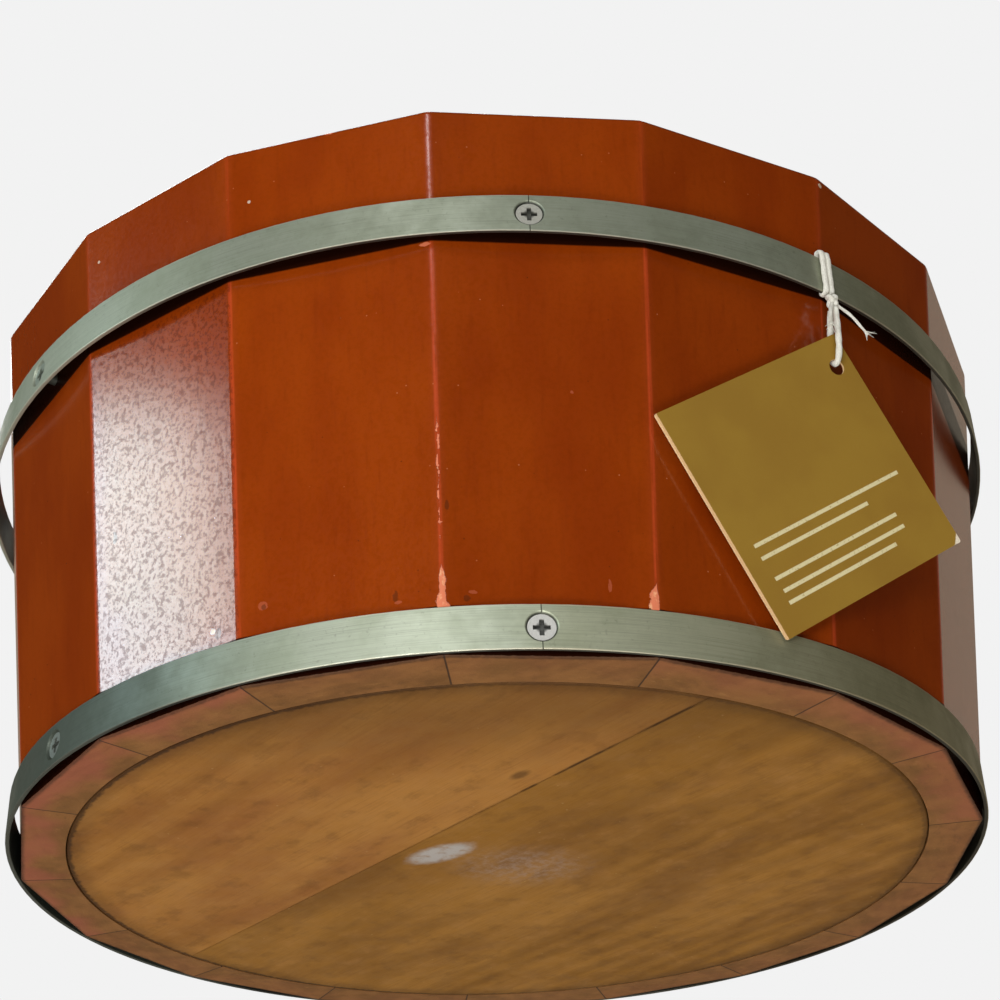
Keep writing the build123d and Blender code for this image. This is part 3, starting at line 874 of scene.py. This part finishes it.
# Doubled strand through the tag's hole
strand_top = strand_drop - knot_radius - knot_gap
leg_top_spread = 0.0011
leg_spread = 0.0019
leg_bend = 0.0108
strand_route = (
    (leg_top_spread, strand_top),
    (leg_spread, leg_bend),
    (leg_spread, 0),
    (-leg_spread, 0),
    (-leg_spread, leg_bend),
    (-leg_top_spread, strand_top),
)
strand_control = [tag_pivot + tag_out * a + tag_up * b for a, b in strand_route]
strand_line = sampled(strand_control)
strand_half = [string_diameter / 2] * len(strand_line)
strand_out = [tag_along] * len(strand_line)
strand = yarn("tag_string_yarn", strand_line, strand_half, strand_half, ply_turn=0.0042, outward=strand_out)
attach(strand, "string")
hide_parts("tag_string")

# Pale floor, well below the camera, which looks up at the part as the photograph does
floor_mesh = bpy.data.meshes.new("floor")
floor_reach = 9.0
floor_height = -1.2
corner_signs = ((-1, -1), (1, -1), (1, 1), (-1, 1))
floor_corners = [(x * floor_reach, y * floor_reach, floor_height) for x, y in corner_signs]
floor_mesh.from_pydata(floor_corners, [], [(0, 1, 2, 3)])
floor = bpy.data.objects.new("floor", floor_mesh)
bpy.context.scene.collection.objects.link(floor)
floor_shader = Shader("pale_floor")
dress(floor, floor_shader.finish(from_screen(238, 238, 238), 0.9, Specular_IOR_Level=0.1))

# World: a pale backdrop behind the part, dimmer towards the camera's side as in a plain room
world = bpy.data.worlds.new("backdrop")
bpy.context.scene.world = world
world.use_nodes = True
tree = world.node_tree
tree.nodes.clear()


def world_node(kind, **settings):
    node = tree.nodes.new(kind)
    for name, value in settings.items():
        setattr(node, name, value)
    return node


backdrop_colour = from_screen(242, 242, 242)
room_colour = (0.19, 0.17, 0.13, 1)
room_back_colour = (0.37, 0.32, 0.245, 1)
room_front_colour = (0.020, 0.018, 0.013, 1)
back_direction = (0.157, 0.892, 0.423)
path_node = world_node("ShaderNodeLightPath")
coordinates = world_node("ShaderNodeTexCoord")
towards = world_node("ShaderNodeVectorMath", operation="DOT_PRODUCT")
tree.links.new(coordinates.outputs["Generated"], towards.inputs[0])
towards.inputs[1].default_value = back_direction
to_back = world_node("ShaderNodeMapRange", interpolation_type="SMOOTHSTEP")
to_back.inputs["From Min"].default_value = 0.50
to_back.inputs["From Max"].default_value = 0.93
tree.links.new(towards.outputs["Value"], to_back.inputs["Value"])
seen = world_node("ShaderNodeMath", operation="MAXIMUM")
tree.links.new(path_node.outputs["Is Glossy Ray"], seen.inputs[0])
tree.links.new(path_node.outputs["Is Transmission Ray"], seen.inputs[1])
room = world_node("ShaderNodeMix", data_type="RGBA")
room.inputs[6].default_value = room_front_colour
room.inputs[7].default_value = room_back_colour
tree.links.new(to_back.outputs[0], room.inputs["Factor"])
lit = world_node("ShaderNodeMix", data_type="RGBA")
lit.inputs[6].default_value = room_colour
tree.links.new(seen.outputs[0], lit.inputs["Factor"])
tree.links.new(room.outputs[2], lit.inputs[7])
shown = world_node("ShaderNodeMix", data_type="RGBA")
tree.links.new(path_node.outputs["Is Camera Ray"], shown.inputs["Factor"])
tree.links.new(lit.outputs[2], shown.inputs[6])
shown.inputs[7].default_value = backdrop_colour
background = world_node("ShaderNodeBackground")
tree.links.new(shown.outputs[2], background.inputs["Color"])
world_output = world_node("ShaderNodeOutputWorld")
tree.links.new(background.outputs[0], world_output.inputs[0])


lamp_target = Vector((0, 0, 0.07))


def lamp(name, azimuth, elevation, distance, width, height, radiance, colour=(1, 1, 1)):
    """Soft lamp that looks at the middle of the part. Its power gives that radiance at its face."""
    a, e = radians(azimuth), radians(elevation)
    place = lamp_target + Vector((cos(a) * cos(e), sin(a) * cos(e), sin(e))) * distance
    data = bpy.data.lights.new(name, "AREA")
    data.shape = "RECTANGLE"
    data.size = width
    data.size_y = height
    data.energy = radiance * pi * width * height
    data.color = colour
    light = bpy.data.objects.new(name, data)
    bpy.context.scene.collection.objects.link(light)
    light.location = place
    light.rotation_mode = "QUATERNION"
    light.rotation_quaternion = (lamp_target - place).to_track_quat("-Z", "Y")


# Angles in degrees, then distance, width and height in metres and radiance
lamp("key", -112, -12, 1.7, 1.1, 0.5, 7.9)
lamp("window", -165, 14.2, 1.5, 0.22, 0.47, 13.6, (0.80, 1.0, 1.06))
lamp("top", -100, 32, 1.6, 0.30, 0.35, 9.0)
lamp("back", 105, 48, 1.7, 1.1, 0.8, 6.0)
lamp("low_fill", -92, -58, 1.5, 0.9, 0.9, 5.4, (1.0, 0.97, 0.92))
